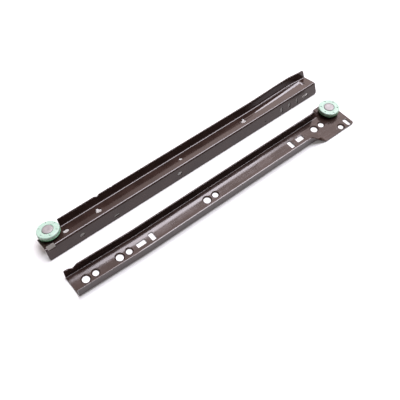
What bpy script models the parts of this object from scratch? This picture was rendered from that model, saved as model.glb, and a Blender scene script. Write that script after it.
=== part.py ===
"""Bottom-mount roller drawer slide: the cabinet member and the drawer member, side by side.

The cabinet member lies on its web. The drawer member stands beside it on the edge of its
bottom flange, with its web leaning away. +X is the front of the furniture, +Z is up, and
the origin is the centre of the pair's footprint. Sizes are in millimetres until a mesh is
made.
"""

import math

import bmesh
import bpy
from mathutils import Vector

MM = 0.001

# Sheet metal
SHEET = 1.0
BEND_RADIUS = 1.1  # to the middle of the sheet
BEND_STEPS = 4
SLIDE_LENGTH = 300.0

# Cabinet member, measured from its rear end and from its near flange's outer face
CABINET_REAR_X = -149.6
CABINET_Y = -31.5
CHANNEL_WIDTH = 21.8
CHANNEL_HEIGHT = 10.2
HOLE_LINE_Y = 11.3
PLATE_NEAR_Y = -6.5
PLATE_FAR_Y = 29.3
PLATE_CORNER = 2.5
NEAR_FLARE = (248.0, 263.4)
FAR_FLARE = (270.4, 281.9)
REAR_SLOPE_START = 63.4
REAR_SLOPE = math.tan(math.radians(2.0))
REAR_SLOPE_BLEND = 6.0
SCALLOP_X = 8.0
SCALLOP_HALF = 4.8
SCALLOP_DEPTH = 2.5
REAR_WALL_CORNER = 1.6
SCREW_HOLE_X = (12.0, 44.0, 135.0, 264.7)
SCREW_HOLE_D = 6.5
PILOT_HOLE_STEP = 9.1
PILOT_HOLE_D = 5.4
WINDOWS = ((65.2, 8.8, 4.5), (76.3, 4.5, 7.8), (234.6, 4.5, 8.2), (245.8, 8.4, 5.0))
PLATE_HOLE = (286.6, -2.2, 5.0)
PLATE_SLOT = (295.1, -1.5, 4.4, 8.6)

# Drawer member, measured from its rear end, across its web and up from its web's top face
DRAWER_REAR_X = -150.8
DRAWER_LEAN = math.radians(12.0)
DRAWER_FOOT_Y = 12.55
FLANGE_DROP = 13.3
WEB_WIDTH = 15.6
WALL_HEIGHT = 8.2
WALL_START = 21.4
FOOT_CORNER = 2.0
FRONT_SKEW = 0.13
WALL_CORNER = 2.0
FRONT_SKEW_RUN = 20.0
BULGE_START, BULGE_PEAK, BULGE_END = 224.0, 279.5, 298.0
BULGE_DEPTH = 1.6
WALL_NOTCH = (59.6, 2.8, 1.3)
WALL_NICK = (74.4, 1.0, 0.6)
WEDGE_START, WEDGE_PEAK, WEDGE_END = 224.7, 288.0, 290.5
WEDGE_NEAR = 2.4
WEDGE_CREST = (8.6, 11.5)
WEDGE_SLOPE = math.tan(math.radians(8.0))
LIP_WIDTH, LIP_HEIGHT, LIP_HOOK = 1.6, 0.75, 3.5
WEB_HOLES = (
    (22.6, 6.9, 5.0, 4.0),
    (54.2, 6.7, 5.2, 3.8),
    (141.0, 8.0, 3.0, 3.0),
    (213.8, 6.5, 5.0, 3.8),
)
WEB_PILOTS = ((54.0, 9.2), (215.2, 9.0))
WEB_PILOT_D = 2.4
BEND_WINDOW = (1.8, 8.8, 4.2)
FLANGE_HOLES = (
    (32.3, 5.9, 4.6, 3.4),
    (65.8, 3.8, 5.0, 2.2),
    (133.1, 6.0, 4.6, 3.4),
    (234.8, 4.5, 1.6, 1.6),
    (255.5, 5.5, 3.0, 6.0),
    (265.5, 5.8, 3.0, 5.0),
    (275.5, 5.5, 2.2, 6.0),
    (286.3, 5.3, 8.0, 3.0),
)

# Rollers and what they turn on, the same on both members, measured up from the web's top face
ROLLER_RADIUS = 9.7
ROLLER_BOTTOM, ROLLER_TOP = 2.1, 7.0
ROLLER_CHAMFER = 0.7
ROLLER_UNDERCUT = (1.0, 1.3)
ROLLER_BORE = 4.1
RECESS_RADIUS, RECESS_DEPTH = 5.1, 0.7
SLEEVE_INNER, SLEEVE_OUTER = 2.8, 3.9
SLEEVE_BOTTOM, SLEEVE_TOP = 0.3, 6.3
WASHER_INNER, WASHER_OUTER = 4.2, 6.2
WASHER_BOTTOM, WASHER_TOP = 0.3, 1.8
SHANK_RADIUS = 2.5
HEAD_RADIUS, HEAD_BOTTOM, HEAD_TOP = 4.75, 6.6, 7.5
TAIL_RADIUS, TAIL_DEPTH = 3.3, 0.5
TAIL_RECESS = 0.05
RIVET_HOLE_RADIUS, RIVET_SINK_RADIUS = 2.8, 3.8
FRONT_ROLLER = (290.4, 18.4)
REAR_ROLLER = (10.7, 12.4)
ROUND_STEPS = 48
HOLE_SIDES = 24


def clear_scene():
    for old in list(bpy.data.objects):
        bpy.data.objects.remove(old)


def new_collection(name, parent):
    collection = bpy.data.collections.new(name)
    parent.children.link(collection)
    return collection


def new_material(name, color, roughness, metallic):
    material = bpy.data.materials.new(name)
    material.use_nodes = True
    shader = material.node_tree.nodes["Principled BSDF"]
    shader.inputs["Base Color"].default_value = (*color, 1.0)
    shader.inputs["Roughness"].default_value = roughness
    shader.inputs["Metallic"].default_value = metallic
    return material


def new_object(name, mesh, collection, material=None):
    obj = bpy.data.objects.new(name, mesh)
    collection.objects.link(obj)
    if material is not None:
        mesh.materials.append(material)
    return obj


def stations(*spans):
    """Sorted places along a strip from spans of (first, last, number of steps)."""
    places = set()
    for first, last, steps in spans:
        for step in range(steps + 1):
            places.add(round(first + (last - first) * step / steps, 4))
    return sorted(places)


def dip(x, centre, half_width):
    """1 at centre, easing to 0 at half_width from it."""
    away = abs(x - centre) / half_width
    return math.cos(away * math.pi / 2) ** 2 if away < 1 else 0.0


def leaf(base, side, angle, length):
    """Bend of a fixed developed length that turns by angle, then a straight run."""
    developed = BEND_RADIUS * math.pi / 2
    turned = max(angle, 0.02)
    radius = developed / turned
    points = []
    for step in range(BEND_STEPS + 1):
        turn = turned * step / BEND_STEPS
        points.append((base + side * radius * math.sin(turn), radius * (1 - math.cos(turn))))
    across, up = points[-1]
    points.append((across + side * length * math.cos(turned), up + length * math.sin(turned)))
    return points


def corner_cut(radius, from_end):
    """How far a rounded corner of this radius cuts back at from_end from the strip's end."""
    inside = min(max(radius - from_end, 0.0), radius)
    return radius - math.sqrt(radius**2 - inside**2)


def eased(x, span):
    """0 before the span, 1 after it, and a straight rise with soft ends between."""
    first, last = span
    along = min(max((x - first) / (last - first), 0.0), 1.0)
    return 0.5 * along + 0.5 * along * along * (3 - 2 * along)


def flange(base, side, upright, flat, opened, trim):
    """Leaf whose edge runs straight from the upright flange's to the flat plate's.

    Upright and flat are the two lengths of its straight run, and trim shortens it.
    """
    first = leaf(base, side, math.pi / 2, upright)[-1]
    last = leaf(base, side, 0.0, flat)[-1]
    tip = [a + (b - a) * opened for a, b in zip(first, last)]
    low, high = 0.0, math.pi / 2
    for _ in range(30):
        angle = (low + high) / 2
        start = leaf(base, side, angle, 0.0)[-1]
        across = (tip[0] - start[0]) * side
        rise = (tip[1] - start[1]) * math.cos(angle) - across * math.sin(angle)
        low, high = (angle, high) if rise > 0 else (low, angle)
    length = math.hypot(tip[0] - start[0], tip[1] - start[1])
    return leaf(base, side, angle, length - trim)


def rear_shift(x):
    """Sideways run of the channel's rear stretch, which slopes down when it is installed."""
    before = REAR_SLOPE_START - x
    if before >= REAR_SLOPE_BLEND:
        return REAR_SLOPE * before
    if before <= -REAR_SLOPE_BLEND:
        return 0.0
    return REAR_SLOPE * (before + REAR_SLOPE_BLEND) ** 2 / (4 * REAR_SLOPE_BLEND)


def cabinet_section(x):
    """(y, z) points across the channel's mid-surface, near flange's edge to far wall's edge."""
    half = SHEET / 2
    developed = BEND_RADIUS * math.pi / 2
    near_base = half + BEND_RADIUS
    far_base = CHANNEL_WIDTH - half - BEND_RADIUS
    upright = CHANNEL_HEIGHT - half - BEND_RADIUS
    near_flat = near_base - developed - PLATE_NEAR_Y
    far_flat = PLATE_FAR_Y - far_base - developed
    rounding = corner_cut(PLATE_CORNER, SLIDE_LENGTH - x)
    far_trim = rounding + SCALLOP_DEPTH * dip(x, SCALLOP_X, SCALLOP_HALF)
    far_trim += corner_cut(REAR_WALL_CORNER, x)
    near_open = eased(x, NEAR_FLARE)
    far_open = eased(x, FAR_FLARE)
    near = flange(near_base, -1, upright, near_flat, near_open, rounding)
    far = flange(far_base, 1, upright, far_flat, far_open, far_trim)
    shift = rear_shift(x)
    return [(y + shift, z + half) for y, z in near[::-1] + far]


def bulge(x):
    if x <= BULGE_START or x >= BULGE_END:
        return 0.0
    if x < BULGE_PEAK:
        along = (x - BULGE_START) / (BULGE_PEAK - BULGE_START)
    else:
        along = (BULGE_END - x) / (BULGE_END - BULGE_PEAK)
    return BULGE_DEPTH * along * along * (3 - 2 * along)


def wedge(x):
    """(u, height) points of the pressed wedge in the web's front.

    It slopes up from the near side to a steeper lip along its far and its front edge.
    """
    along = min(max((x - WEDGE_START) / (WEDGE_PEAK - WEDGE_START), 0.0), 1.0)
    fade = min(max((WEDGE_END - x) / (WEDGE_END - WEDGE_PEAK), 0.0), 1.0)
    front = min(max((x - WEDGE_PEAK + LIP_WIDTH) / LIP_WIDTH, 0.0), 1.0)
    crest = WEDGE_CREST[0] + (WEDGE_CREST[1] - WEDGE_CREST[0]) * along**1.5
    foot = crest - LIP_WIDTH * (0.4 + 0.6 * along)
    slope = WEDGE_SLOPE * along
    lip = LIP_HEIGHT * along
    heights = (
        (WEDGE_NEAR, 0.0),
        (foot - LIP_HOOK, slope * (foot - LIP_HOOK - WEDGE_NEAR)),
        (foot, slope * (foot - WEDGE_NEAR) + lip * front * 0.8),
        (crest, slope * (foot - WEDGE_NEAR) + lip),
    )
    return [(u, height * fade) for u, height in heights]


def drawer_section(x):
    """(u, n) points across the Z profile's mid-surface, bottom flange's edge to wall's edge."""
    half = SHEET / 2
    near_base = half + BEND_RADIUS
    far_base = WEB_WIDTH - half - BEND_RADIUS + bulge(x)
    foot_cut = corner_cut(FOOT_CORNER, min(x, SLIDE_LENGTH - x))
    drop = FLANGE_DROP - half - BEND_RADIUS - foot_cut
    rise = WALL_HEIGHT + half - BEND_RADIUS - corner_cut(WALL_CORNER, SLIDE_LENGTH - x)
    for centre, half_width, depth in (WALL_NOTCH, WALL_NICK):
        rise -= depth * dip(x, centre, half_width)
    near = [(u, -n) for u, n in leaf(near_base, -1, math.pi / 2, drop)]
    far = leaf(far_base, 1, math.pi / 2, rise)
    return [(u, n - half) for u, n in near[::-1] + wedge(x) + far]


def strip_mesh(name, places, section, skew=0.0):
    """Open mid-surface of a folded strip, lofted through its sections along X.

    With a skew, the front end leans: its low edges reach further forward than its high ones.
    """
    rows = []
    for x in places:
        share = max(1.0 - (SLIDE_LENGTH - x) / FRONT_SKEW_RUN, 0.0)
        row = [((x - skew * share * z) * MM, y * MM, z * MM) for y, z in section(x)]
        rows.append(row)
    width = len(rows[0])
    faces = []
    for row in range(len(rows) - 1):
        for column in range(width - 1):
            corner = row * width + column
            faces.append((corner, corner + width, corner + width + 1, corner + 1))
    mesh = bpy.data.meshes.new(name)
    mesh.from_pydata([point for row in rows for point in row], [], faces)
    mesh.update()
    return mesh


def add_sheet(obj):
    solidify = obj.modifiers.new("sheet", "SOLIDIFY")
    solidify.thickness = SHEET * MM
    solidify.offset = 0.0
    solidify.use_even_offset = True


def add_cuts(obj, cutters):
    boolean = obj.modifiers.new("cuts", "BOOLEAN")
    boolean.operation = "DIFFERENCE"
    boolean.solver = "EXACT"
    boolean.operand_type = "COLLECTION"
    boolean.collection = cutters


def smooth(obj, angle=35.0):
    obj.data.shade_smooth()
    obj.data.set_sharp_from_angle(angle=math.radians(angle))


def hide_cutter(obj):
    obj.hide_render = True
    obj.display_type = "WIRE"


def slot_cutter(name, collection, centre, length, width, depth, axis):
    """Round-ended prism along axis: length lies along X, width across it."""
    straight = abs(length - width) / 2
    radius = min(length, width) / 2
    outline = []
    for side in range(HOLE_SIDES):
        turn = 2 * math.pi * (side + 0.5) / HOLE_SIDES
        along = radius * math.cos(turn)
        across = radius * math.sin(turn)
        if length > width:
            along += math.copysign(straight, math.cos(turn))
        if width > length:
            across += math.copysign(straight, math.sin(turn))
        outline.append((along, across))
    shape = bmesh.new()
    if axis == "Z":
        corners = [shape.verts.new((a * MM, b * MM, -depth / 2 * MM)) for a, b in outline]
        move = Vector((0, 0, depth * MM))
    else:
        corners = [shape.verts.new((a * MM, -depth / 2 * MM, b * MM)) for a, b in outline]
        move = Vector((0, depth * MM, 0))
    face = shape.faces.new(corners)
    swept = bmesh.ops.extrude_face_region(shape, geom=[face])
    raised = [item for item in swept["geom"] if isinstance(item, bmesh.types.BMVert)]
    bmesh.ops.translate(shape, verts=raised, vec=move)
    bmesh.ops.recalc_face_normals(shape, faces=shape.faces)
    mesh = bpy.data.meshes.new(name)
    shape.to_mesh(mesh)
    shape.free()
    obj = new_object(name, mesh, collection)
    obj.location = [value * MM for value in centre]
    hide_cutter(obj)
    return obj


def box_cutter(name, collection, low, high):
    shape = bmesh.new()
    bmesh.ops.create_cube(shape, size=1.0)
    size = [(b - a) * MM for a, b in zip(low, high)]
    bmesh.ops.scale(shape, verts=shape.verts, vec=size)
    mesh = bpy.data.meshes.new(name)
    shape.to_mesh(mesh)
    shape.free()
    obj = new_object(name, mesh, collection)
    obj.location = [(a + b) / 2 * MM for a, b in zip(low, high)]
    hide_cutter(obj)
    return obj


def turned(name, profile, collection, material=None, steps=ROUND_STEPS):
    """Solid turned about Z from (radius, height) points that run down its outer side.

    A profile that starts and ends on the axis makes a full solid, and a closed loop of
    points off the axis makes a ring.
    """
    mesh = bpy.data.meshes.new(name)
    ring = min(radius for radius, _ in profile) > 0
    count = len(profile)
    edges = [(i, i + 1) for i in range(count - 1)]
    if ring:
        edges.append((count - 1, 0))
    mesh.from_pydata([(r * MM, 0.0, z * MM) for r, z in profile], edges, [])
    obj = new_object(name, mesh, collection, material)
    screw = obj.modifiers.new("turn", "SCREW")
    screw.axis = "Z"
    screw.steps = steps
    screw.render_steps = steps
    screw.use_smooth_shade = True
    screw.use_merge_vertices = True
    screw.merge_threshold = 0.000001
    return obj


def roller_profile():
    r, top, bottom, edge = ROLLER_RADIUS, ROLLER_TOP, ROLLER_BOTTOM, ROLLER_CHAMFER
    floor = top - RECESS_DEPTH
    return [
        (ROLLER_BORE, floor),
        (RECESS_RADIUS, floor),
        (RECESS_RADIUS, top),
        (r - edge, top),
        (r - 0.3 * edge, top - 0.3 * edge),
        (r, top - edge),
        (r, bottom + ROLLER_UNDERCUT[1]),
        (r - ROLLER_UNDERCUT[0], bottom),
        (ROLLER_BORE, bottom),
    ]


def rivet_profile():
    """Low domed head, shank through the web, and a tail swaged flush in the web's sink."""
    back = -SHEET + TAIL_RECESS
    return [
        (0.0, HEAD_TOP),
        (0.6 * HEAD_RADIUS, HEAD_TOP - 0.05),
        (0.92 * HEAD_RADIUS, HEAD_TOP - 0.3),
        (HEAD_RADIUS, HEAD_BOTTOM + 0.25),
        (HEAD_RADIUS - 0.2, HEAD_BOTTOM),
        (SHANK_RADIUS, HEAD_BOTTOM),
        (SHANK_RADIUS, back + TAIL_DEPTH),
        (TAIL_RADIUS, back),
        (0.0, back),
    ]


def ring_profile(inner, outer, bottom, top, edge=0.15):
    return [
        (inner, top),
        (outer - edge, top),
        (outer, top - edge),
        (outer, bottom + edge),
        (outer - edge, bottom),
        (inner, bottom),
    ]


def rivet_hole_profile():
    below = -SHEET - 0.5
    return [
        (0.0, 0.5),
        (RIVET_HOLE_RADIUS, 0.5),
        (RIVET_HOLE_RADIUS, -SHEET + TAIL_DEPTH + 0.1),
        (RIVET_SINK_RADIUS, -SHEET),
        (RIVET_SINK_RADIUS, below),
        (0.0, below),
    ]


def build_roller_set(where, centre, web_top, holder, collection, materials):
    """Roller, rivet, bearing sleeve and washer on one axis. Returns nothing."""
    axis = bpy.data.objects.new(where + "_roller_axis", None)
    collection.objects.link(axis)
    axis.parent = holder
    axis.location = (centre[0] * MM, centre[1] * MM, web_top * MM)
    sleeve = ring_profile(SLEEVE_INNER, SLEEVE_OUTER, SLEEVE_BOTTOM, SLEEVE_TOP)
    washer = ring_profile(WASHER_INNER, WASHER_OUTER, WASHER_BOTTOM, WASHER_TOP)
    pieces = (
        (where + "_roller_wheel", roller_profile(), "nylon"),
        (where + "_axle_rivet", rivet_profile(), "rivet_steel"),
        (where + "_axle_sleeve", sleeve, "plated_steel"),
        (where + "_axle_washer", washer, "plated_steel"),
    )
    for name, profile, slot in pieces:
        turned(name, profile, collection, materials[slot]).parent = axis


def build_cabinet_member(collection, cutters, materials):
    holder = bpy.data.objects.new("cabinet_member", None)
    collection.objects.link(holder)
    holder.location = (CABINET_REAR_X * MM, CABINET_Y * MM, 0.0)
    places = stations(
        (0.0, 0.2, 1),
        (0.5, 1.0, 1),
        (1.6, 13.2, 10),
        (REAR_SLOPE_START - REAR_SLOPE_BLEND, REAR_SLOPE_START + REAR_SLOPE_BLEND, 6),
        (150.0, 200.0, 1),
        (NEAR_FLARE[0], FAR_FLARE[1], 30),
        (SLIDE_LENGTH - PLATE_CORNER, SLIDE_LENGTH, 5),
    )
    mesh = strip_mesh("cabinet_profile", places, cabinet_section)
    profile = new_object("cabinet_profile", mesh, collection, materials["dark_coat"])
    profile.parent = holder
    add_sheet(profile)
    holes = new_collection("cabinet_cutters", cutters)
    parts = []
    for index, x in enumerate(SCREW_HOLE_X):
        pilot_x = x + PILOT_HOLE_STEP
        screw = (x, HOLE_LINE_Y + rear_shift(x) / 2, 0.0)
        pilot = (pilot_x, HOLE_LINE_Y + rear_shift(pilot_x) / 2, 0.0)
        name = f"hole_{index}"
        parts.append(slot_cutter(name, holes, screw, SCREW_HOLE_D, SCREW_HOLE_D, 4.0, "Z"))
        parts.append(
            slot_cutter(name + "_pilot", holes, pilot, PILOT_HOLE_D, PILOT_HOLE_D, 4.0, "Z")
        )
    for index, (x, along, across) in enumerate(WINDOWS):
        low = (x - along / 2, HOLE_LINE_Y - across / 2, -2.0)
        high = (x + along / 2, HOLE_LINE_Y + across / 2, 2.0)
        parts.append(box_cutter(f"window_{index}", holes, low, high))
    x, y, size = PLATE_HOLE
    parts.append(slot_cutter("plate_hole", holes, (x, y, 0.0), size, size, 4.0, "Z"))
    x, y, along, across = PLATE_SLOT
    parts.append(slot_cutter("plate_slot", holes, (x, y, 0.0), along, across, 4.0, "Z"))
    rivet_hole = turned("front_rivet_hole", rivet_hole_profile(), holes)
    rivet_hole.location = (FRONT_ROLLER[0] * MM, FRONT_ROLLER[1] * MM, SHEET * MM)
    hide_cutter(rivet_hole)
    parts.append(rivet_hole)
    for part in parts:
        part.parent = holder
    add_cuts(profile, holes)
    smooth(profile)
    build_roller_set("front", FRONT_ROLLER, SHEET, holder, collection, materials)


def build_drawer_member(collection, cutters, materials):
    holder = bpy.data.objects.new("drawer_member", None)
    collection.objects.link(holder)
    inner_corner = FLANGE_DROP * math.cos(DRAWER_LEAN) + SHEET * math.sin(DRAWER_LEAN)
    web_edge_y = DRAWER_FOOT_Y + FLANGE_DROP * math.sin(DRAWER_LEAN)
    holder.location = (DRAWER_REAR_X * MM, web_edge_y * MM, inner_corner * MM)
    holder.rotation_euler = (-DRAWER_LEAN, 0.0, 0.0)
    last = SLIDE_LENGTH
    places = stations(
        (0.0, 0.4, 1),
        (0.8, FOOT_CORNER, 2),
        (WALL_NOTCH[0] - WALL_NOTCH[1], WALL_NOTCH[0] + WALL_NOTCH[1], 8),
        (WALL_NICK[0] - WALL_NICK[1], WALL_NICK[0] + WALL_NICK[1], 4),
        (BULGE_START, BULGE_PEAK, 9),
        (WEDGE_PEAK - LIP_WIDTH, WEDGE_END, 4),
        (BULGE_PEAK, BULGE_END, 5),
        (last - FOOT_CORNER, last - 0.8, 2),
        (last - 0.4, last, 1),
    )
    mesh = strip_mesh("drawer_profile", places, drawer_section, FRONT_SKEW)
    profile = new_object("drawer_profile", mesh, collection, materials["dark_coat"])
    profile.parent = holder
    add_sheet(profile)
    holes = new_collection("drawer_cutters", cutters)
    low = (-1.0, WEB_WIDTH - SHEET - 0.7, 0.0)
    high = (WALL_START, WEB_WIDTH + 4.0, WALL_HEIGHT + 2.0)
    parts = [box_cutter("wall_end", holes, low, high)]
    rear, front, reach = BEND_WINDOW
    low = (rear, -1.0, -3.0)
    parts.append(box_cutter("bend_window", holes, low, (front, reach, 1.0)))
    for index, (x, u, along, across) in enumerate(WEB_HOLES):
        parts.append(slot_cutter(f"web_hole_{index}", holes, (x, u, 0.0), along, across, 4.0, "Z"))
    for index, (x, u) in enumerate(WEB_PILOTS):
        size = WEB_PILOT_D
        parts.append(slot_cutter(f"web_pilot_{index}", holes, (x, u, 0.0), size, size, 4.0, "Z"))
    for index, (x, up, along, tall) in enumerate(FLANGE_HOLES):
        place = (x, SHEET / 2, up - FLANGE_DROP)
        parts.append(slot_cutter(f"flange_hole_{index}", holes, place, along, tall, 4.0, "Y"))
    rivet_hole = turned("rear_rivet_hole", rivet_hole_profile(), holes)
    rivet_hole.location = (REAR_ROLLER[0] * MM, REAR_ROLLER[1] * MM, 0.0)
    hide_cutter(rivet_hole)
    parts.append(rivet_hole)
    for part in parts:
        part.parent = holder
    add_cuts(profile, holes)
    smooth(profile)
    build_roller_set("rear", REAR_ROLLER, 0.0, holder, collection, materials)


def main():
    clear_scene()
    scene_root = bpy.context.scene.collection
    slide = new_collection("drawer_slide", scene_root)
    cutters = new_collection("cutters", scene_root)
    materials = {
        "dark_coat": new_material("dark_coat", (0.030, 0.020, 0.017), 0.25, 0.0),
        "nylon": new_material("nylon", (0.74, 0.86, 0.79), 0.35, 0.0),
        "rivet_steel": new_material("rivet_steel", (0.62, 0.58, 0.57), 0.4, 1.0),
        "plated_steel": new_material("plated_steel", (0.6, 0.6, 0.6), 0.35, 1.0),
    }
    build_cabinet_member(slide, cutters, materials)
    build_drawer_member(slide, cutters, materials)


main()
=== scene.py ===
"""Looks of the cabinet drawer slide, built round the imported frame. Metres, +Z up."""

import math

import bmesh
import bpy
from mathutils import Matrix, Vector


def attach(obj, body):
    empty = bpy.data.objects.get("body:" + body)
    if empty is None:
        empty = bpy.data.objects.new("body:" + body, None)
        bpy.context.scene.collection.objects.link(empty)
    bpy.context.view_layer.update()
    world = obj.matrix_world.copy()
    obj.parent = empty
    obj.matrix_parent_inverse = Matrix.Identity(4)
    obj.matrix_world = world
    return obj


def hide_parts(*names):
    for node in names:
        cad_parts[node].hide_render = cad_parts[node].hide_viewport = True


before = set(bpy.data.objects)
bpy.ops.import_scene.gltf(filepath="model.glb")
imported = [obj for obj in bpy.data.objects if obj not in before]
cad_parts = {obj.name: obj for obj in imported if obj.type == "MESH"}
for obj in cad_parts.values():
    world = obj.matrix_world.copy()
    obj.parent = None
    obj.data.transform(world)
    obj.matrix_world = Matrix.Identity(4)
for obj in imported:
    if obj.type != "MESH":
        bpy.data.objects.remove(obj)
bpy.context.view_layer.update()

MM = 0.001

# Sheet metal, in millimetres
SHEET = 1.0
BEND_RADIUS = 1.1  # to the middle of the sheet
BEND_STEPS = 8
SLIDE_LENGTH = 300.0
EDGE_ROUNDING = 0.12
JOIN_DISTANCE = 0.01
SOFT_LIMIT = 25.0  # degrees; a steeper edge is shaded sharp or rounded

# Cabinet member, measured from its rear end and from its near flange's outer face
CABINET_REAR_X = -149.6
CABINET_Y = -31.5
CHANNEL_WIDTH = 21.8
CHANNEL_HEIGHT = 10.2
HOLE_LINE_Y = 11.3
PLATE_NEAR_Y = -6.5
PLATE_FAR_Y = 29.3
PLATE_CORNER = 2.5
NEAR_FLARE = (248.0, 263.4)
FAR_FLARE = (270.4, 281.9)
WEB_CROWN = 0.2  # how far the web's middle lies below its sides
WEB_LEVEL, WEB_RISE = 0.28, 0.52  # shares of the web's half width: level middle, rise
REAR_CROWN_GAIN, REAR_LEVEL_LOSS, REAR_RISE_GAIN = 0.6, 0.6, 0.25
WEB_SPREADS = (40.0, 150.0)  # where the rear's wider rise turns into the middle's
WEB_FLATTENS = (225.0, 262.0)  # where the crown runs out
WEB_STEPS = 20
RIM_SLOPE = 0.09  # how far the near rim's outer edge lies below its inner edge
RIM_FADE = 8.0
REAR_SLOPE_START = 63.4
REAR_SLOPE = math.tan(math.radians(2.0))
REAR_SLOPE_BLEND = 6.0
SCALLOP = (8.0, 4.8, 2.5)
REAR_WALL_CORNER = 1.6
SCREW_HOLE_X = (12.0, 44.0, 135.0, 264.7)
SCREW_HOLE_D = 6.5
PILOT_HOLE_STEP = 9.1
PILOT_HOLE_D = 5.4
WINDOWS = ((65.2, 8.8, 4.5), (76.3, 4.5, 7.8), (234.6, 4.5, 8.2), (245.8, 8.4, 5.0))
WINDOW_CORNER = 0.5
PLATE_HOLE = (286.6, -2.2, 5.0)
PLATE_SLOT = (295.1, -1.5, 4.4, 8.6)
PLATE_DIMPLE = (281.0, -2.6, 0.8, 0.35)
HOLE_DISH = (1.0, 0.68)  # how much wider a screw hole's rim is, and how deep
DISH_OVERRUN = 0.3  # how far above the sheet the cutter's cone runs on

# Drawer member, measured from its rear end, across its web and up from its web's top face
DRAWER_REAR_X = -150.8
DRAWER_LEAN = math.radians(12.0)
DRAWER_FOOT_Y = 12.55
FLANGE_DROP = 13.3
WEB_WIDTH = 15.6
WALL_HEIGHT = 8.2
WALL_START = 21.4
WALL_CORNER = 2.0
WALL_BEND = 1.8
FOOT_CORNER = 2.0
FRONT_SKEW = 0.13
FRONT_SKEW_RUN = 20.0
BULGE = (224.0, 279.5, 298.0, 1.6)
WALL_NOTCHES = ((59.6, 2.8, 1.3), (74.4, 1.0, 0.6))
WEDGE_START, WEDGE_PEAK, WEDGE_END = 222.0, 290.2, 292.6
WEDGE_NEAR = 2.4
WEDGE_CREST = (8.6, 11.5)
WEDGE_SLOPE = math.tan(math.radians(8.0))
WEDGE_CURVE = 1.5
LIP_WIDTH, LIP_HEIGHT, LIP_HOOK = 2.1, 1.15, 3.5
LIP_GROWTH, LIP_FRONT = 0.45, 0.8
FOLD = 0.2  # half the width of a soft fold in a pressed face
WEB_HOLES = (
    (22.6, 6.9, 5.0, 4.0),
    (54.2, 6.7, 5.2, 3.8),
    (141.0, 8.0, 3.0, 3.0),
    (213.8, 6.5, 5.0, 3.8),
)
WEB_PILOTS = ((54.0, 9.2), (215.2, 9.0))
WEB_PILOT_D = 2.4
BEND_WINDOW = (1.8, 8.8, 4.2)
FLANGE_HOLES = (
    (32.3, 5.9, 4.6, 3.4),
    (65.8, 3.8, 5.0, 2.2),
    (133.1, 6.0, 4.6, 3.4),
    (234.8, 4.5, 1.6, 1.6),
    (255.5, 5.5, 3.0, 6.0),
    (265.5, 5.8, 3.0, 5.0),
    (275.5, 5.5, 2.2, 6.0),
    (286.3, 5.3, 8.0, 3.0),
)

# Rollers and rivets, the same on both members, measured up from the web's top face
ROLLER_RADIUS = 9.7
ROLLER_BOTTOM, ROLLER_TOP = 2.1, 7.0
ROLLER_BORE = 4.1
RECESS_RADIUS, RECESS_DEPTH = 5.1, 0.7
DIMPLE_RING, DIMPLE_COUNT, DIMPLE_TURN = 7.7, 6, math.radians(15.0)
DIMPLE_RADIUS, DIMPLE_DEPTH = 0.75, 0.7
SHANK_RADIUS = 2.5
HEAD_RADIUS, HEAD_BOTTOM, HEAD_TOP = 4.75, 6.6, 7.5
TAIL_RADIUS, TAIL_DEPTH, TAIL_RECESS = 3.3, 0.5, 0.05
RIVET_HOLE_RADIUS, RIVET_SINK_RADIUS = 2.8, 3.8
FRONT_ROLLER = (290.4, 18.4)
REAR_ROLLER = (10.7, 12.4)
ROUND_STEPS = 96
HOLE_STEPS = 48

NYLON_SHADE_HEIGHTS = (2.8, 5.4)  # heights between which the tread's painted shade, a darker green below, fades into the plain mint above

OWN_PLACE = "own_place"  # each vertex's place in its piece's own axes

# Camera and light
CAMERA_PLACE = (-0.21068, -0.25439, 0.42841)
CAMERA_AZIMUTH = math.radians(-38.77)
CAMERA_ELEVATION = math.radians(54.48)
CAMERA_ROLL = math.radians(-0.18)
CAMERA_LENS = 54.88
OVERHEAD_TOWARD = (0.33, 0.05, 0.94)
OVERHEAD_WIDTH = 42.0
OVERHEAD_POWER = 6.3
OVERHEAD_COLOR = (0.84, 0.89, 1.0)
FLOOR_HALF = 20.0
FLOOR_DROP = 0.0003
FLOOR_GLOW = 0.12
# Soft patches: direction, degrees within which it is full, degrees beyond which it is gone, strength
GLOWS = (
    ((0.0, 0.0, 1.0), 5.0, 110.0, 0.40),
    ((0.50, 0.45, 0.74), 8.0, 33.0, 1.9),
    ((0.60, 0.66, 0.42), 8.0, 28.0, 1.0),
    ((0.0, 0.99, 0.12), 8.0, 40.0, 0.5),
)
GLOW_COLOR = (1.0, 0.88, 0.86, 1.0)
BACKDROP_COLOR = (1.0, 1.0, 1.0, 1.0)


# ---------------------------------------------------------------- sheet shapes


def dip(x, centre, half_width):
    """1 at centre, easing to 0 at half_width from it."""
    away = abs(x - centre) / half_width
    return math.cos(away * math.pi / 2) ** 2 if away < 1 else 0.0


def corner_cut(radius, from_end):
    """How far a rounded corner of this radius cuts back at from_end from the strip's end."""
    inside = min(max(radius - from_end, 0.0), radius)
    return radius - math.sqrt(radius**2 - inside**2)


def leaf(base, side, angle, length, bend=BEND_RADIUS):
    """Bend of a fixed developed length that turns by angle, then a straight run."""
    developed = bend * math.pi / 2
    turned = max(angle, 0.02)
    radius = developed / turned
    points = []
    for step in range(BEND_STEPS + 1):
        turn = turned * step / BEND_STEPS
        points.append((base + side * radius * math.sin(turn), radius * (1 - math.cos(turn))))
    across, up = points[-1]
    points.append((across + side * length * math.cos(turned), up + length * math.sin(turned)))
    return points


def eased(x, span):
    """0 before the span, 1 after it, and a straight rise with soft ends between."""
    first, last = span
    along = min(max((x - first) / (last - first), 0.0), 1.0)
    return 0.5 * along + 0.5 * along * along * (3 - 2 * along)


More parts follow.
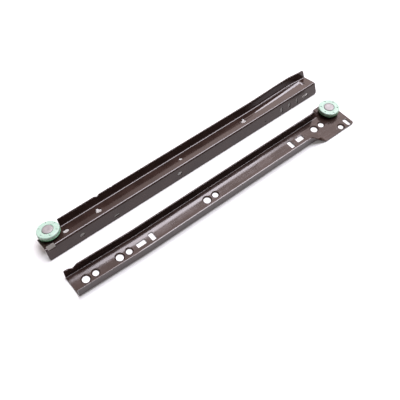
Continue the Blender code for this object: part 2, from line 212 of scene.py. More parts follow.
def flange(base, side, upright, flat, opened, trim):
    """Leaf whose edge runs straight from the upright flange's to the flat plate's.

    Upright and flat are the two lengths of its straight run, and trim shortens it.
    """
    first = leaf(base, side, math.pi / 2, upright)[-1]
    last = leaf(base, side, 0.0, flat)[-1]
    tip = [a + (b - a) * opened for a, b in zip(first, last)]
    low, high = 0.0, math.pi / 2
    for _ in range(30):
        angle = (low + high) / 2
        start = leaf(base, side, angle, 0.0)[-1]
        across = (tip[0] - start[0]) * side
        rise = (tip[1] - start[1]) * math.cos(angle) - across * math.sin(angle)
        low, high = (angle, high) if rise > 0 else (low, angle)
    length = math.hypot(tip[0] - start[0], tip[1] - start[1])
    return leaf(base, side, angle, length - trim)


def rear_shift(x):
    """Sideways run of the channel's rear stretch, which slopes down when it is installed."""
    before = REAR_SLOPE_START - x
    if before >= REAR_SLOPE_BLEND:
        return REAR_SLOPE * before
    if before <= -REAR_SLOPE_BLEND:
        return 0.0
    return REAR_SLOPE * (before + REAR_SLOPE_BLEND) ** 2 / (4 * REAR_SLOPE_BLEND)


def cabinet_section(x):
    """(y, z) points across the channel's mid-surface, near flange's edge to far wall's edge."""
    half = SHEET / 2
    developed = BEND_RADIUS * math.pi / 2
    near_base = half + BEND_RADIUS
    far_base = CHANNEL_WIDTH - half - BEND_RADIUS
    upright = CHANNEL_HEIGHT - half - BEND_RADIUS
    near_open = eased(x, NEAR_FLARE)
    far_open = eased(x, FAR_FLARE)
    near_flat = near_base - developed - PLATE_NEAR_Y
    far_flat = PLATE_FAR_Y - far_base - developed
    rounding = corner_cut(PLATE_CORNER, SLIDE_LENGTH - x)
    far_trim = rounding + SCALLOP[2] * dip(x, SCALLOP[0], SCALLOP[1])
    far_trim += corner_cut(REAR_WALL_CORNER, x)
    spread = 1 - eased(x, WEB_SPREADS)
    crown = WEB_CROWN * (1 + REAR_CROWN_GAIN * spread) * (1 - eased(x, WEB_FLATTENS))
    level = WEB_LEVEL * (1 - REAR_LEVEL_LOSS * spread)
    rise = WEB_RISE + REAR_RISE_GAIN * spread
    near = flange(near_base, -1, upright - crown, near_flat, near_open, rounding)
    far = flange(far_base, 1, upright - crown, far_flat, far_open, far_trim)
    web = []
    for step in range(1, WEB_STEPS):
        across = step / WEB_STEPS
        edge = min(max((abs(2 * across - 1) - level) / rise, 0.0), 1.0)
        y = near_base + (far_base - near_base) * across
        web.append((y, crown * (edge * edge * (3 - 2 * edge) - 1)))
    shift = rear_shift(x)
    return [(y + shift, z + half + crown) for y, z in near[::-1] + web + far]


def bulge(x):
    start, peak, end, depth = BULGE
    if x <= start or x >= end:
        return 0.0
    along = (x - start) / (peak - start) if x < peak else (end - x) / (end - peak)
    return depth * along * along * (3 - 2 * along)


def folded(points):
    """The same line with each corner split into two points, so that it turns in a short fold."""
    line = [points[0]]
    for before, corner, after in zip(points, points[1:], points[2:]):
        for other in (before, after):
            share = FOLD / math.dist(corner, other)
            line.append(tuple(c + (o - c) * share for c, o in zip(corner, other)))
    return line + [points[-1]]


def wedge(x):
    """(u, height) points of the pressed wedge in the web's front.

    It slopes up from the near side to a steeper lip along its far and its front edge.
    """
    along = min(max((x - WEDGE_START) / (WEDGE_PEAK - WEDGE_START), 0.0), 1.0)
    fade = min(max((WEDGE_END - x) / (WEDGE_END - WEDGE_PEAK), 0.0), 1.0)
    front = min(max((x - WEDGE_PEAK + LIP_WIDTH) / LIP_WIDTH, 0.0), 1.0)
    crest = WEDGE_CREST[0] + (WEDGE_CREST[1] - WEDGE_CREST[0]) * along**WEDGE_CURVE
    foot = crest - LIP_WIDTH * (0.5 + 0.5 * along)
    slope = WEDGE_SLOPE * along
    lip = LIP_HEIGHT * along**LIP_GROWTH
    heights = (
        (WEDGE_NEAR, 0.0),
        (foot - LIP_HOOK, slope * (foot - LIP_HOOK - WEDGE_NEAR)),
        (foot, slope * (foot - WEDGE_NEAR) + lip * front * LIP_FRONT),
        (crest, slope * (foot - WEDGE_NEAR) + lip),
    )
    return [(u, height * fade) for u, height in heights]


def drawer_section(x):
    """(u, n) points across the Z profile's mid-surface, bottom flange's edge to wall's edge."""
    half = SHEET / 2
    near_base = half + BEND_RADIUS
    far_base = WEB_WIDTH - half - WALL_BEND + bulge(x)
    foot_cut = corner_cut(FOOT_CORNER, min(x, SLIDE_LENGTH - x))
    drop = FLANGE_DROP - half - BEND_RADIUS - foot_cut
    rise = WALL_HEIGHT + half - WALL_BEND - corner_cut(WALL_CORNER, SLIDE_LENGTH - x)
    for centre, half_width, depth in WALL_NOTCHES:
        rise -= depth * dip(x, centre, half_width)
    near = [(u, -n) for u, n in leaf(near_base, -1, math.pi / 2, drop)]
    far = leaf(far_base, 1, math.pi / 2, rise, WALL_BEND)
    web = folded([near[0], *wedge(x), (far_base - 2 * FOLD, 0.0), far[0]])[1:-1]
    return [(u, n - half) for u, n in near[::-1] + web + far]


def stations(*spans):
    """Sorted places along a strip from spans of (first, last, number of steps)."""
    places = set()
    for first, last, steps in spans:
        for step in range(steps + 1):
            places.add(round(first + (last - first) * step / steps, 4))
    return sorted(places)


def strip_object(name, places, section, skew=0.0):
    """Folded strip of sheet lofted through its sections along X, as a closed solid."""
    rows = []
    for x in places:
        share = max(1.0 - (SLIDE_LENGTH - x) / FRONT_SKEW_RUN, 0.0)
        rows.append([((x - skew * share * z) * MM, y * MM, z * MM) for y, z in section(x)])
    width = len(rows[0])
    faces = []
    for row in range(len(rows) - 1):
        for column in range(width - 1):
            corner = row * width + column
            faces.append((corner, corner + width, corner + width + 1, corner + 1))
    mesh = bpy.data.meshes.new(name)
    mesh.from_pydata([point for row in rows for point in row], [], faces)
    obj = new_object(name, mesh)
    solidify = obj.modifiers.new("sheet", "SOLIDIFY")
    solidify.thickness = SHEET * MM
    solidify.offset = 0.0
    solidify.use_even_offset = True
    return obj


# ---------------------------------------------------------------- mesh helpers


def new_object(name, mesh):
    obj = bpy.data.objects.new(name, mesh)
    bpy.context.scene.collection.objects.link(obj)
    return obj


def turned_mesh(profile, steps):
    """Solid turned about Z from (radius, height) points that run down its outer side.

    A profile that starts and ends on the axis makes a full solid, and a closed loop of
    points off the axis makes a ring.
    """
    shape = bmesh.new()
    rings = []
    for radius, height in profile:
        if radius == 0:
            rings.append([shape.verts.new((0, 0, height * MM))])
            continue
        ring = []
        for step in range(steps):
            turn = 2 * math.pi * step / steps
            across = (radius * math.cos(turn) * MM, radius * math.sin(turn) * MM)
            ring.append(shape.verts.new((*across, height * MM)))
        rings.append(ring)
    pairs = list(zip(rings, rings[1:]))
    if profile[0][0] > 0:
        pairs.append((rings[-1], rings[0]))
    for upper, lower in pairs:
        for step in range(steps):
            after = (step + 1) % steps
            corners = [upper[step % len(upper)], lower[step % len(lower)]]
            corners += [lower[after % len(lower)], upper[after % len(upper)]]
            face = []
            for corner in corners:
                if corner not in face:
                    face.append(corner)
            shape.faces.new(face)
    bmesh.ops.recalc_face_normals(shape, faces=shape.faces)
    mesh = bpy.data.meshes.new("shape")
    shape.to_mesh(mesh)
    shape.free()
    return mesh


def prism_mesh(outline, low, high, axis):
    """Prism with this outline from low to high along Z, or along Y for an upright flange."""
    shape = bmesh.new()
    if axis == "Z":
        corners = [shape.verts.new((a * MM, b * MM, low * MM)) for a, b in outline]
        move = Vector((0, 0, (high - low) * MM))
    else:
        corners = [shape.verts.new((a * MM, low * MM, b * MM)) for a, b in outline]
        move = Vector((0, (high - low) * MM, 0))
    swept = bmesh.ops.extrude_face_region(shape, geom=[shape.faces.new(corners)])
    raised = [item for item in swept["geom"] if isinstance(item, bmesh.types.BMVert)]
    bmesh.ops.translate(shape, verts=raised, vec=move)
    bmesh.ops.recalc_face_normals(shape, faces=shape.faces)
    mesh = bpy.data.meshes.new("shape")
    shape.to_mesh(mesh)
    shape.free()
    return mesh


def slot_outline(along, across, radius=None, steps=HOLE_STEPS):
    """Outline with rounded corners. Left out, the radius makes the ends fully round."""
    if radius is None:
        radius = min(along, across) / 2
    outline = []
    for step in range(steps):
        turn = 2 * math.pi * (step + 0.5) / steps
        x = radius * math.cos(turn) + math.copysign(along / 2 - radius, math.cos(turn))
        y = radius * math.sin(turn) + math.copysign(across / 2 - radius, math.sin(turn))
        outline.append((x, y))
    return outline


def moved(mesh, place):
    """The mesh shifted to a place in millimetres."""
    mesh.transform(Matrix.Translation(Vector(place) * MM))
    return mesh


def applied(obj):
    """Makes obj's modifiers part of its mesh, and removes them."""
    graph = bpy.context.evaluated_depsgraph_get()
    final = bpy.data.meshes.new_from_object(obj.evaluated_get(graph), depsgraph=graph)
    obj.modifiers.clear()
    rough = obj.data
    obj.data = final
    bpy.data.meshes.remove(rough)
    final.name = obj.name


def cut(obj, meshes):
    """Takes these meshes, which don't touch each other, out of obj."""
    shape = bmesh.new()
    for mesh in meshes:
        shape.from_mesh(mesh)
        bpy.data.meshes.remove(mesh)
    joined = bpy.data.meshes.new(obj.name + "_cutter")
    shape.to_mesh(joined)
    shape.free()
    boolean = obj.modifiers.new("cuts", "BOOLEAN")
    boolean.operation = "DIFFERENCE"
    boolean.solver = "EXACT"
    boolean.object = new_object(joined.name, joined)
    applied(obj)
    bpy.data.meshes.remove(joined)


def cleaned(mesh, limit):
    """Joins points that a cut left almost together, so that edges can be rounded.

    Edges that aren't steep enough to be rounded, but aren't soft either, are made sharp.
    """
    shape = bmesh.new()
    shape.from_mesh(mesh)
    bmesh.ops.remove_doubles(shape, verts=shape.verts, dist=JOIN_DISTANCE * MM)
    bmesh.ops.dissolve_degenerate(shape, edges=shape.edges, dist=JOIN_DISTANCE * MM)
    for edge in shape.edges:
        edge.smooth = not math.radians(SOFT_LIMIT) < edge.calc_face_angle(0.0) < math.radians(limit)
    shape.to_mesh(mesh)
    shape.free()


def settle(obj, matrix, rounding=None, limit=40.0):
    """Rounds obj's sharp edges and puts its mesh in the row frame.

    Each vertex keeps its place in the piece's own axes, for the materials.
    """
    obj.data.shade_smooth()
    if rounding:
        cleaned(obj.data, limit)
        bevel = obj.modifiers.new("rounding", "BEVEL")
        bevel.width = rounding * MM
        bevel.segments = 2
        bevel.limit_method = "ANGLE"
        bevel.angle_limit = math.radians(limit)
        bevel.use_clamp_overlap = False
    weighted = obj.modifiers.new("normals", "WEIGHTED_NORMAL")
    weighted.weight = 80
    weighted.keep_sharp = True
    applied(obj)
    own = obj.data.attributes.new(OWN_PLACE, "FLOAT_VECTOR", "POINT")
    for vertex, value in zip(obj.data.vertices, own.data):
        value.vector = vertex.co
    obj.data.transform(matrix)


def finish_piece(obj, material, body, replaced):
    """Gives obj its material, hangs it on the empty of the body it rides on, and hides the CAD node
    it stands for.
    """
    obj.data.materials.clear()
    obj.data.materials.append(material)
    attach(obj, body)
    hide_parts(replaced)


# ---------------------------------------------------------------- the two strips


def dished_hole(diameter):
    """Cutter for a round hole whose upper rim is pressed into a shallow cone."""
    radius = diameter / 2
    wide, deep = HOLE_DISH
    outer = radius + wide * (1 + DISH_OVERRUN / deep)
    profile = [
        (0.0, SHEET + DISH_OVERRUN),
        (outer, SHEET + DISH_OVERRUN),
        (radius, SHEET - deep),
        (radius, -1.0),
        (0.0, -1.0),
    ]
    return turned_mesh(profile, HOLE_STEPS)


def rivet_hole():
    profile = [
        (0.0, 0.5),
        (RIVET_HOLE_RADIUS, 0.5),
        (RIVET_HOLE_RADIUS, -SHEET + TAIL_DEPTH + 0.1),
        (RIVET_SINK_RADIUS, -SHEET),
        (RIVET_SINK_RADIUS, -SHEET - 0.5),
        (0.0, -SHEET - 0.5),
    ]
    return turned_mesh(profile, HOLE_STEPS)


def dimple_cutter(radius, depth, top):
    """Short round-bottomed plug that leaves a dimple in a face at height top."""
    profile = [
        (0.0, top + 1.0),
        (radius, top + 1.0),
        (radius, top - depth * 0.55),
        (radius * 0.8, top - depth * 0.85),
        (radius * 0.4, top - depth),
        (0.0, top - depth),
    ]
    return turned_mesh(profile, 24)


def cabinet_matrix():
    return Matrix.Translation(Vector((CABINET_REAR_X, CABINET_Y, 0.0)) * MM)


def drawer_matrix():
    """Axes of the drawer member: along it, across its web, and out of its web's top face."""
    height = FLANGE_DROP * math.cos(DRAWER_LEAN) + SHEET * math.sin(DRAWER_LEAN)
    edge_y = DRAWER_FOOT_Y + FLANGE_DROP * math.sin(DRAWER_LEAN)
    place = Matrix.Translation(Vector((DRAWER_REAR_X, edge_y, height)) * MM)
    return place @ Matrix.Rotation(-DRAWER_LEAN, 4, "X")


def slope_rim(mesh):
    """Lets the near flange's top rim fall a little towards its outer face, up to the flare."""
    for vertex in mesh.vertices:
        x, y, z = vertex.co / MM
        if z > CHANNEL_HEIGHT - 0.02 and y < 2 * SHEET:
            fade = min(max((NEAR_FLARE[0] - x) / RIM_FADE, 0.0), 1.0)
            vertex.co.z -= RIM_SLOPE * fade * max(SHEET - y, 0.0) * MM


def build_cabinet_strip(coat):
    places = stations(
        (0.0, 0.2, 1),
        (0.5, 1.0, 1),
        (1.6, 13.2, 20),
        (REAR_SLOPE_START - REAR_SLOPE_BLEND, REAR_SLOPE_START + REAR_SLOPE_BLEND, 8),
        (90.0, 220.0, 5),
        (NEAR_FLARE[0] - RIM_FADE, NEAR_FLARE[0] - 3.0, 5),
        (NEAR_FLARE[0] - 3.0, FAR_FLARE[1] + 2.0, 78),
        (SLIDE_LENGTH - PLATE_CORNER, SLIDE_LENGTH, 8),
    )
    strip = strip_object("cabinet_strip", places, cabinet_section)
    holes = []
    for x in SCREW_HOLE_X:
        for step, size in ((0.0, SCREW_HOLE_D), (PILOT_HOLE_STEP, PILOT_HOLE_D)):
            place = (x + step, HOLE_LINE_Y + rear_shift(x + step) / 2, 0.0)
            holes.append(moved(dished_hole(size), place))
    for x, along, across in WINDOWS:
        outline = slot_outline(along, across, WINDOW_CORNER)
        holes.append(moved(prism_mesh(outline, -2.0, 2.0, "Z"), (x, HOLE_LINE_Y, 0.0)))
    x, y, size = PLATE_HOLE
    holes.append(moved(dished_hole(size), (x, y, 0.0)))
    x, y, along, across = PLATE_SLOT
    slot = prism_mesh(slot_outline(along, across), -2.0, 2.0, "Z")
    holes.append(moved(slot, (x, y, 0.0)))
    x, y, radius, depth = PLATE_DIMPLE
    holes.append(moved(dimple_cutter(radius, depth, SHEET), (x, y, 0.0)))
    holes.append(moved(rivet_hole(), (*FRONT_ROLLER, SHEET)))
    cut(strip, holes)
    slope_rim(strip.data)
    settle(strip, cabinet_matrix(), EDGE_ROUNDING)
    finish_piece(strip, coat, "cabinet_member", "cabinet_profile")


def build_drawer_strip(coat):
    start, peak, end, _ = BULGE
    notch, nick = WALL_NOTCHES
    last = SLIDE_LENGTH
    places = stations(
        (0.0, 0.4, 1),
        (0.8, FOOT_CORNER, 3),
        (notch[0] - notch[1], notch[0] + notch[1], 12),
        (nick[0] - nick[1], nick[0] + nick[1], 6),
        (100.0, 200.0, 4),
        (start, peak, 24),
        (WEDGE_PEAK - LIP_WIDTH - 0.4, WEDGE_END + 0.5, 10),
        (peak, end, 8),
        (last - FOOT_CORNER, last - 0.8, 3),
        (last - 0.4, last, 1),
    )
    strip = strip_object("drawer_strip", places, drawer_section, FRONT_SKEW)
    outline = [
        (-1.0, WEB_WIDTH - SHEET - 0.7),
        (WALL_START, WEB_WIDTH - SHEET - 0.7),
        (WALL_START, WEB_WIDTH + 4.0),
        (-1.0, WEB_WIDTH + 4.0),
    ]
    cut(strip, [prism_mesh(outline, 0.0, WALL_HEIGHT + 2.0, "Z")])
    rear, front, reach = BEND_WINDOW
    outline = slot_outline(front - rear, reach + 1.0, WINDOW_CORNER)
    middle = ((rear + front) / 2, (reach - 1.0) / 2, 0.0)
    holes = [moved(prism_mesh(outline, -3.0, 1.0, "Z"), middle)]
    for x, u, along, across in WEB_HOLES:
        hole = prism_mesh(slot_outline(along, across), -3.0, 2.0, "Z")
        holes.append(moved(hole, (x, u, 0.0)))
    for x, up, along, tall in FLANGE_HOLES:
        hole = prism_mesh(slot_outline(along, tall), -2.0, 2.0, "Y")
        holes.append(moved(hole, (x, SHEET / 2, up - FLANGE_DROP)))
    holes.append(moved(rivet_hole(), (*REAR_ROLLER, 0.0)))
    cut(strip, holes)
    pilot = slot_outline(WEB_PILOT_D, WEB_PILOT_D)
    cut(strip, [moved(prism_mesh(pilot, -3.0, 2.0, "Z"), (x, u, 0.0)) for x, u in WEB_PILOTS])
    settle(strip, drawer_matrix(), EDGE_ROUNDING)
    finish_piece(strip, coat, "drawer_member", "drawer_profile")


# ---------------------------------------------------------------- rollers and rivets


def roller_profile():
    """Tread with a rounded shoulder and a lower lip, and a face with a recess for the head."""
    r, top, bottom = ROLLER_RADIUS, ROLLER_TOP, ROLLER_BOTTOM
    floor = top - RECESS_DEPTH
    return [
        (ROLLER_BORE, floor),
        (RECESS_RADIUS - 0.15, floor),
        (RECESS_RADIUS, floor + 0.15),
        (RECESS_RADIUS, top - 0.22),
        (RECESS_RADIUS + 0.08, top - 0.06),
        (RECESS_RADIUS + 0.24, top),
        (r - 0.80, top),
        (r - 0.52, top - 0.06),
        (r - 0.24, top - 0.24),
        (r - 0.06, top - 0.50),
        (r, top - 0.85),
        (r, top - 1.3),
        (r - 0.30, top - 1.45),
        (r - 0.30, bottom + 1.75),
        (r - 0.02, bottom + 1.45),
        (r - 0.04, bottom + 1.2),
        (r - 0.25, bottom + 0.75),
        (r - 0.85, bottom + 0.10),
        (r - 1.10, bottom),
        (ROLLER_BORE + 0.25, bottom),
        (ROLLER_BORE, bottom + 0.25),
    ]


def rivet_profile():
    """Low domed head with a pressed ring, shank through the web, and a swaged tail."""
    back = -SHEET + TAIL_RECESS
    r = HEAD_RADIUS
    return [
        (0.0, HEAD_TOP - 0.10),
        (0.30 * r, HEAD_TOP - 0.09),
        (0.38 * r, HEAD_TOP - 0.02),
        (0.46 * r, HEAD_TOP),
        (0.62 * r, HEAD_TOP - 0.04),
        (0.80 * r, HEAD_TOP - 0.14),
        (0.92 * r, HEAD_TOP - 0.29),
        (0.98 * r, HEAD_TOP - 0.45),
        (r, HEAD_BOTTOM + 0.25),
        (r - 0.05, HEAD_BOTTOM + 0.08),
        (r - 0.2, HEAD_BOTTOM),
        (SHANK_RADIUS, HEAD_BOTTOM),
        (SHANK_RADIUS, back + TAIL_DEPTH),
        (TAIL_RADIUS - 0.1, back + 0.05),
        (TAIL_RADIUS - 0.2, back),
        (0.35 * TAIL_RADIUS, back),
        (0.25 * TAIL_RADIUS, back + 0.12),
        (0.0, back + 0.15),
    ]


def build_roller(name, body, replaced, axis, nylon):
    wheel = new_object(name, turned_mesh(roller_profile(), ROUND_STEPS))
    dimples = []
    for index in range(DIMPLE_COUNT):
        turn = DIMPLE_TURN + 2 * math.pi * index / DIMPLE_COUNT
        place = (DIMPLE_RING * math.cos(turn), DIMPLE_RING * math.sin(turn), 0.0)
        dimple = dimple_cutter(DIMPLE_RADIUS, DIMPLE_DEPTH, ROLLER_TOP)
        dimples.append(moved(dimple, place))
    cut(wheel, dimples)
    settle(wheel, axis, 0.06, 50.0)
    finish_piece(wheel, nylon, body, replaced)


def build_rivet(name, body, replaced, axis, steel):
    rivet = new_object(name, turned_mesh(rivet_profile(), ROUND_STEPS))
    settle(rivet, axis)
    finish_piece(rivet, steel, body, replaced)


# ---------------------------------------------------------------- materials


class Nodes:
    """Short names for one material's nodes and links."""

    def __init__(self, name, own=True):
        self.material = bpy.data.materials.new(name)
        self.material.use_nodes = True
        self.tree = self.material.node_tree
        self.shader = self.tree.nodes["Principled BSDF"]
        if own:
            attribute = self.add("ShaderNodeAttribute", attribute_name=OWN_PLACE)
            self.place = attribute.outputs["Vector"]
        else:
            self.place = self.add("ShaderNodeTexCoord").outputs["Object"]

    def add(self, kind, **settings):
        node = self.tree.nodes.new(kind)
        for key, value in settings.items():
            setattr(node, key, value)
        return node

    def link(self, source, target):
        self.tree.links.new(source, target)

    def stretched(self, scale):
        mapping = self.add("ShaderNodeMapping")
        mapping.inputs["Scale"].default_value = scale
        self.link(self.place, mapping.inputs["Vector"])
        return mapping.outputs["Vector"]

    def noise(self, scale, detail=2.0, roughness=0.5, stretch=None):
        node = self.add("ShaderNodeTexNoise")
        node.inputs["Scale"].default_value = scale
        node.inputs["Detail"].default_value = detail
        node.inputs["Roughness"].default_value = roughness
        self.link(self.stretched(stretch) if stretch else self.place, node.inputs["Vector"])
        return node.outputs["Fac"]

    def specks(self, scale):
        node = self.add("ShaderNodeTexVoronoi", feature="F1")
        node.inputs["Scale"].default_value = scale
        self.link(self.place, node.inputs["Vector"])
        return node.outputs["Distance"]

    def ramp(self, value, low, high, first=0.0, last=1.0):
        """Maps value from low..high to first..last."""
        node = self.add("ShaderNodeMapRange", interpolation_type="SMOOTHSTEP")
        for key, number in (("From Min", low), ("From Max", high)):
            node.inputs[key].default_value = number
        for key, number in (("To Min", first), ("To Max", last)):
            node.inputs[key].default_value = number
        self.link(value, node.inputs["Value"])
        return node.outputs["Result"]

    def mix(self, share, first, second):
        """Blends two colours; a colour is a tuple or another node's output."""
        node = self.add("ShaderNodeMix", data_type="RGBA")
        self.link(share, node.inputs["Factor"])
        for key, color in ((6, first), (7, second)):
            if isinstance(color, tuple):
                node.inputs[key].default_value = (*color, 1.0)
            else:
                self.link(color, node.inputs[key])
        return node.outputs[2]

    def add_values(self, first, second, operation="ADD"):
        node = self.add("ShaderNodeMath", operation=operation)
        for index, value in enumerate((first, second)):
            if isinstance(value, float):
                node.inputs[index].default_value = value
            else:
                self.link(value, node.inputs[index])
        return node.outputs[0]

    def bump(self, height, distance, strength=1.0, after=None):
        node = self.add("ShaderNodeBump")
        node.inputs["Strength"].default_value = strength
        node.inputs["Distance"].default_value = distance
        self.link(height, node.inputs["Height"])
        if after is not None:
            self.link(after, node.inputs["Normal"])
        return node.outputs["Normal"]

    def set(self, **values):
        for key, value in values.items():
            socket = self.shader.inputs[key.replace("_", " ")]
            if isinstance(value, (int, float, tuple)):
                socket.default_value = value
            else:
                self.link(value, socket)


def coat_material():
    """Dark brown baked coat on rolled strip: soft mottling, drawn streaks and fine grain."""
    nodes = Nodes("dark_coat_finish")
    mottle = nodes.noise(60.0, 4.0, 0.6)
    streaks = nodes.noise(900.0, 3.0, 0.55, stretch=(0.02, 1.0, 1.0))
    grain = nodes.noise(2600.0, 2.0)
    dust = nodes.specks(420.0)
    brown = nodes.mix(nodes.ramp(mottle, 0.3, 0.7), (0.017, 0.009, 0.007), (0.028, 0.015, 0.012))
    brown = nodes.mix(nodes.ramp(streaks, 0.55, 0.75, 0.0, 0.35), brown, (0.036, 0.024, 0.020))
    brown = nodes.mix(nodes.ramp(dust, 0.0, 0.09, 0.45, 0.0), brown, (0.12, 0.10, 0.09))
    worn = nodes.add_values(
        nodes.ramp(mottle, 0.3, 0.7, 0.11, 0.16), nodes.ramp(streaks, 0.4, 0.7, 0.0, 0.05)
    )
    relief = nodes.bump(grain, 0.00001, 0.4)
    relief = nodes.bump(streaks, 0.00001, 0.3, relief)
    relief = nodes.bump(nodes.noise(35.0, 1.0), 0.0002, 0.4, relief)
    nodes.set(Base_Color=brown, Roughness=worn, Normal=relief, IOR=1.5)
    nodes.set(Specular_Tint=(1.0, 0.90, 0.88, 1.0))
    return nodes.material


def nylon_material():
    """Pale mint moulded nylon: faint flow marks, satin skin, a little depth of glow, and painted
    shade that darkens the tread's lower part to a deeper green.
    """
    nodes = Nodes("nylon_finish")
    flow = nodes.noise(160.0, 3.0, 0.55)
    grain = nodes.noise(3000.0, 2.0)
    marks = nodes.specks(900.0)
    height = nodes.add("ShaderNodeSeparateXYZ")
    nodes.link(nodes.place, height.inputs[0])
    mint = nodes.mix(nodes.ramp(flow, 0.3, 0.7), (0.29, 0.38, 0.31), (0.33, 0.42, 0.34))
    mint = nodes.mix(nodes.ramp(marks, 0.0, 0.12, 0.35, 0.0), mint, (0.24, 0.30, 0.25))
    # painted shade: the tread's lower part is painted this darker green, where shade falls between
    # the roller and the web
    deep = nodes.mix(nodes.ramp(flow, 0.3, 0.7), (0.08, 0.24, 0.11), (0.10, 0.27, 0.13))
    low, high = NYLON_SHADE_HEIGHTS
    mint = nodes.mix(nodes.ramp(height.outputs["Z"], low * MM, high * MM), deep, mint)
    satin = nodes.ramp(flow, 0.3, 0.7, 0.26, 0.38)
    relief = nodes.bump(grain, 0.00002, 0.25)
    relief = nodes.bump(flow, 0.0002, 0.3, relief)
    nodes.set(Base_Color=mint, Roughness=satin, Normal=relief, Specular_IOR_Level=0.35)
    nodes.set(Subsurface_Weight=0.25, Subsurface_Scale=0.002)
    nodes.set(Subsurface_Radius=(0.6, 1.0, 0.8))
    return nodes.material


def steel_material(name, dark, light, roughness, scale, own=True):
    """Bare pressed steel: cloudy tone, fine pressing grain and small scratches."""
    nodes = Nodes(name, own)
    cloud = nodes.noise(scale, 4.0, 0.6)
    scratch = nodes.noise(1500.0, 3.0, 0.6, stretch=(0.08, 1.0, 1.0))
    grain = nodes.noise(4000.0, 2.0)
    tone = nodes.mix(nodes.ramp(cloud, 0.3, 0.7), dark, light)
    tone = nodes.mix(nodes.ramp(scratch, 0.62, 0.74, 0.0, 0.4), tone, (0.78, 0.76, 0.75))
    rough = nodes.ramp(cloud, 0.3, 0.7, roughness - 0.06, roughness + 0.08)
    relief = nodes.bump(grain, 0.00002, 0.4)
    relief = nodes.bump(scratch, 0.00002, 0.3, relief)
    nodes.set(Base_Color=tone, Metallic=1.0, Roughness=rough, Normal=relief)
    return nodes.material


def floor_material():
    """Pale paper that gives a little light of its own, so that its shadows stay soft."""
    nodes = Nodes("floor_paper", own=False)
    tone = nodes.mix(nodes.noise(30.0, 3.0), (0.54, 0.51, 0.49), (0.56, 0.53, 0.51))
    nodes.set(Base_Color=tone, Roughness=0.9, Emission_Strength=FLOOR_GLOW)
    return nodes.material


# ---------------------------------------------------------------- stage


def build_camera():
    azimuth, elevation, roll = CAMERA_AZIMUTH, CAMERA_ELEVATION, CAMERA_ROLL
    flat = math.cos(elevation)
    back = Vector((math.sin(azimuth) * flat, -math.cos(azimuth) * flat, math.sin(elevation)))
    level = Vector((math.cos(azimuth), math.sin(azimuth), 0.0))
    upright = back.cross(level)
    right = math.cos(roll) * level + math.sin(roll) * upright
    up = math.cos(roll) * upright - math.sin(roll) * level
    data = bpy.data.cameras.new("camera")
    data.sensor_width = 36.0
    data.lens = CAMERA_LENS
    data.clip_start = 0.01
    camera = bpy.data.objects.new("camera", data)
    bpy.context.scene.collection.objects.link(camera)
    turn = Matrix((right, up, back)).transposed().to_4x4()
    camera.matrix_world = Matrix.Translation(CAMERA_PLACE) @ turn
    bpy.context.scene.camera = camera


def glow(tree, toward, inner, outer, radiance):
    """Brightness of a round soft patch of the studio's surroundings, centred on toward."""
    direction = tree.nodes.new("ShaderNodeTexCoord").outputs["Generated"]
    facing = tree.nodes.new("ShaderNodeVectorMath")
    facing.operation = "DOT_PRODUCT"
    facing.inputs[1].default_value = Vector(toward).normalized()
    tree.links.new(direction, facing.inputs[0])
    patch = tree.nodes.new("ShaderNodeMapRange")
    patch.interpolation_type = "SMOOTHSTEP"
    patch.inputs["From Min"].default_value = math.cos(math.radians(outer))
    patch.inputs["From Max"].default_value = math.cos(math.radians(inner))
    patch.inputs["To Max"].default_value = radiance
    tree.links.new(facing.outputs["Value"], patch.inputs["Value"])
    return patch.outputs["Result"]


def build_surroundings():
    """A dim studio with soft bright patches, and a white backdrop behind the floor's edge."""
    world = bpy.data.worlds.new("studio")
    bpy.context.scene.world = world
    world.use_nodes = True
    tree = world.node_tree
    total = None
    for patch in GLOWS:
        light = glow(tree, *patch)
        if total is not None:
            both = tree.nodes.new("ShaderNodeMath")
            tree.links.new(total, both.inputs[0])
            tree.links.new(light, both.inputs[1])
            light = both.outputs[0]
        total = light
    glows = tree.nodes["Background"]
    glows.inputs["Color"].default_value = GLOW_COLOR
    tree.links.new(total, glows.inputs["Strength"])
    backdrop = tree.nodes.new("ShaderNodeBackground")
    backdrop.inputs["Color"].default_value = BACKDROP_COLOR
    seen = tree.nodes.new("ShaderNodeMixShader")
    tree.links.new(tree.nodes.new("ShaderNodeLightPath").outputs["Is Camera Ray"], seen.inputs[0])
    tree.links.new(glows.outputs[0], seen.inputs[1])
    tree.links.new(backdrop.outputs[0], seen.inputs[2])
    tree.links.new(seen.outputs[0], tree.nodes["World Output"].inputs["Surface"])


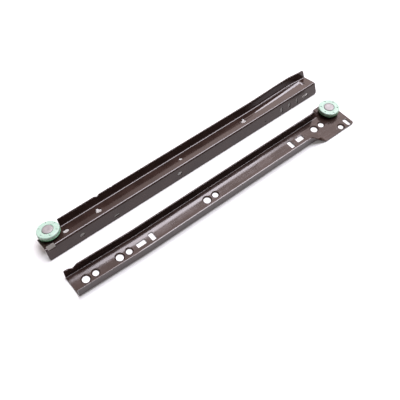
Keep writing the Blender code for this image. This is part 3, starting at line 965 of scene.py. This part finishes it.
def build_lights():
    """One broad overhead light, round as seen from the object, and the surroundings."""
    data = bpy.data.lights.new("overhead", "SUN")
    data.angle = math.radians(OVERHEAD_WIDTH)
    data.energy = OVERHEAD_POWER
    data.color = OVERHEAD_COLOR
    lamp = bpy.data.objects.new("overhead", data)
    bpy.context.scene.collection.objects.link(lamp)
    lamp.location = Vector(OVERHEAD_TOWARD)
    lamp.rotation_euler = Vector(OVERHEAD_TOWARD).to_track_quat("Z", "Y").to_euler()
    build_surroundings()


def build_floor():
    mesh = bpy.data.meshes.new("floor")
    half = FLOOR_HALF
    corners = [(-half, -half, 0.0), (half, -half, 0.0), (half, half, 0.0), (-half, half, 0.0)]
    mesh.from_pydata(corners, [], [(0, 1, 2, 3)])
    floor = new_object("floor", mesh)
    floor.location.z = -FLOOR_DROP
    floor.data.materials.append(floor_material())


# ---------------------------------------------------------------- all of it


def build():
    coat = coat_material()
    nylon = nylon_material()
    rivet_steel = steel_material(
        "rivet_finish", (0.31, 0.28, 0.275), (0.38, 0.345, 0.34), 0.74, 260.0
    )
    plated = steel_material(
        "plated_finish", (0.48, 0.48, 0.47), (0.62, 0.62, 0.60), 0.34, 400.0, own=False
    )
    build_cabinet_strip(coat)
    build_drawer_strip(coat)
    front = cabinet_matrix() @ Matrix.Translation(Vector((*FRONT_ROLLER, SHEET)) * MM)
    rear = drawer_matrix() @ Matrix.Translation(Vector((*REAR_ROLLER, 0.0)) * MM)
    build_roller("front_wheel", "front_roller", "front_roller_wheel", front, nylon)
    build_roller("rear_wheel", "rear_roller", "rear_roller_wheel", rear, nylon)
    build_rivet("front_rivet", "cabinet_member", "front_axle_rivet", front, rivet_steel)
    build_rivet("rear_rivet", "drawer_member", "rear_axle_rivet", rear, rivet_steel)
    for where in ("front", "rear"):
        for part in ("sleeve", "washer"):
            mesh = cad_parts[f"{where}_axle_{part}"].data
            mesh.materials.clear()
            mesh.materials.append(plated)
    build_camera()
    build_lights()
    build_floor()
    bpy.context.scene.view_settings.view_transform = "Standard"


build()
